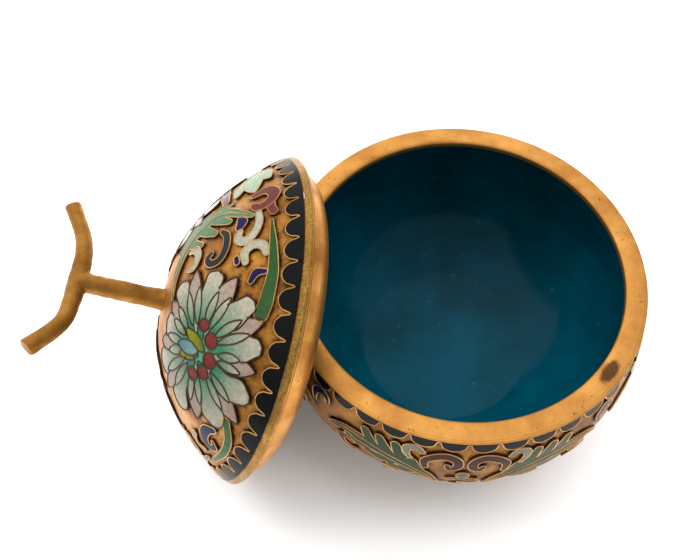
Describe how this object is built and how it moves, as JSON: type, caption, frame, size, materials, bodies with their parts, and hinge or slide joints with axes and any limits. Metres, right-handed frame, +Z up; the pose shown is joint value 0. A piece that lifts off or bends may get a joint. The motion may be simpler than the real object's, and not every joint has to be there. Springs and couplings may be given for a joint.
{
  "type": "cloisonne enamel box",
  "caption": "Squat round enamelled box with a gilt rim, shown open: its domed lid, with a twig-shaped handle, leans on the bowl.",
  "frame": {"origin": "under the middle of the whole (bowl and leaning lid), on the surface it stands on", "axes": "+Z up along the bowl's axis; +X from the leaning lid towards the bowl"},
  "size_m": [0.1178, 0.0764, 0.0606],
  "materials": {
    "copper_gilt": "recessed gilt ground, granular, brown grime against the enamels",
    "gilt": "smooth worn gilding with fine turned lines and brown pits",
    "stem_gilt": "rough matt gilt rod",
    "teal_enamel": "glossy dark teal enamel, faintly clouded",
    "black_enamel": "polished black enamel between gilt wires",
    "white_enamel": "white enamel shading to turquoise, fine pits",
    "red_enamel": "dull dark red enamel",
    "cobalt_enamel": "deep cobalt enamel",
    "green_enamel": "mid green enamel, slightly mottled"
  },
  "bodies": {
    "root": {"base_enamel": "teal_enamel", "bowl_body": "copper_gilt", "bowl_border": "black_enamel", "bowl_cobalt_1": "cobalt_enamel", "bowl_cobalt_2": "cobalt_enamel", "bowl_cobalt_3": "cobalt_enamel", "bowl_cobalt_4": "cobalt_enamel", "bowl_leaf_1a": "green_enamel", "bowl_leaf_1b": "green_enamel", "bowl_leaf_2a": "green_enamel", "bowl_leaf_2b": "green_enamel", "bowl_leaf_3a": "green_enamel", "bowl_leaf_3b": "green_enamel", "bowl_leaf_4a": "green_enamel", "bowl_leaf_4b": "green_enamel", "bowl_lining": "teal_enamel", "bowl_rim": "gilt", "bowl_scroll_1a": "red_enamel", "bowl_scroll_1b": "red_enamel", "bowl_scroll_2a": "red_enamel", "bowl_scroll_2b": "red_enamel", "bowl_scroll_3a": "red_enamel", "bowl_scroll_3b": "red_enamel", "bowl_scroll_4a": "red_enamel", "bowl_scroll_4b": "red_enamel", "foot_ring": "gilt", "lid_blade_1": "green_enamel", "lid_blade_2": "green_enamel", "lid_blade_3": "green_enamel", "lid_body": "copper_gilt", "lid_border": "black_enamel", "lid_flower_1": "white_enamel", "lid_flower_2": "white_enamel", "lid_flower_3": "white_enamel", "lid_leaf": "green_enamel", "lid_lining": "teal_enamel", "lid_rim": "gilt", "stem": "stem_gilt"}
  },
  "joints": []
}
